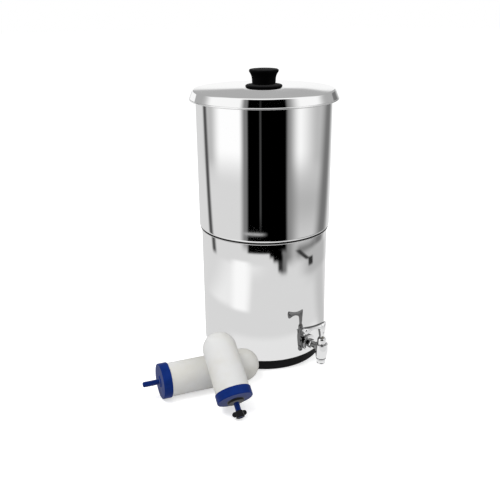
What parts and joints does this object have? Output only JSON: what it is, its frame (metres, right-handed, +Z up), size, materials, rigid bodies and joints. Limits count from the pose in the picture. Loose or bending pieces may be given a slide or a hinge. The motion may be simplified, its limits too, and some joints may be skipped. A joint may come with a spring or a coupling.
{
  "type": "gravity water filter with tap",
  "caption": "Stacked round steel chambers with a flared lid, black knob, rubber base and lever tap, with two domed ceramic candle elements lying beside them.",
  "frame": {"origin": "centre of the base ring's underside, on the chambers' common axis", "axes": "+Z up along the chambers' axis, -Y towards the tap's spout, +X to the right of the tap seen from in front of it"},
  "size_m": [0.4208, 0.2982, 0.5209],
  "materials": {
    "polished_steel": "mirror polished stainless steel",
    "chrome_plate": "bright chrome plate",
    "plain_steel": "satin stainless steel",
    "brass": "turned brass",
    "base_rubber": "matt moulded rubber",
    "silicone": "satin silicone",
    "knob_plastic": "satin phenolic",
    "black_nylon": "moulded nylon",
    "blue_plastic": "satin moulded plastic",
    "ceramic": "unglazed fired ceramic",
    "filter_media": "packed granules",
    "felt": "white felt"
  },
  "bodies": {
    "base": {"base_ring": "base_rubber", "lower_chamber": "polished_steel", "tap_body": "chrome_plate", "tap_flange": "chrome_plate", "tap_seal_outer": "silicone", "tap_seal_inner": "silicone", "tap_lock_nut": "black_nylon", "tap_bonnet": "chrome_plate", "tap_nozzle": "chrome_plate", "nozzle_ring": "silicone"},
    "upper": {"upper_chamber": "polished_steel", "blanking_plugs": "black_nylon", "plug_washers": "silicone", "plug_wing_nuts": "black_nylon"},
    "lid": {"lid": "polished_steel", "knob": "knob_plastic", "knob_base": "knob_plastic", "knob_insert": "brass", "knob_screw": "plain_steel", "knob_washer": "plain_steel"},
    "tap_handle": {"tap_plug": "brass", "stem_o_ring": "silicone", "tap_lever": "chrome_plate", "lever_pin": "plain_steel"},
    "long_element": {"long_element_shell": "ceramic", "long_element_filling": "filter_media", "long_element_pad": "felt", "long_element_cap": "blue_plastic"},
    "short_element": {"short_element_shell": "ceramic", "short_element_filling": "filter_media", "short_element_pad": "felt", "short_element_cap": "blue_plastic", "element_washer": "silicone"},
    "wing_nut": {"element_wing_nut": "black_nylon"}
  },
  "joints": [
    {"name": "upper_chamber_lift", "type": "slide", "parent": "base", "child": "upper", "axis": [0, 0, 1], "range_m": [0, 0.15]},
    {"name": "lid_lift", "type": "slide", "parent": "upper", "child": "lid", "axis": [0, 0, 1], "range_m": [0, 0.2]},
    {"name": "lever_turn", "type": "hinge", "parent": "base", "child": "tap_handle", "pos_m": [0, -0.1465, 0.06], "axis": [0, 0, 1], "range_deg": [0, 90]},
    {"name": "long_element_lift", "type": "slide", "parent": "base", "child": "long_element", "axis": [0, 0, 1], "range_m": [0, 0.15]},
    {"name": "short_element_lift", "type": "slide", "parent": "long_element", "child": "short_element", "axis": [0, 0, 1], "range_m": [0, 0.15]},
    {"name": "wing_nut_turn", "type": "hinge", "parent": "short_element", "child": "wing_nut", "pos_m": [-0.21128, -0.16441, 0.00552], "axis": [0.2695, 0.7171, 0.6428], "continuous": true}
  ]
}
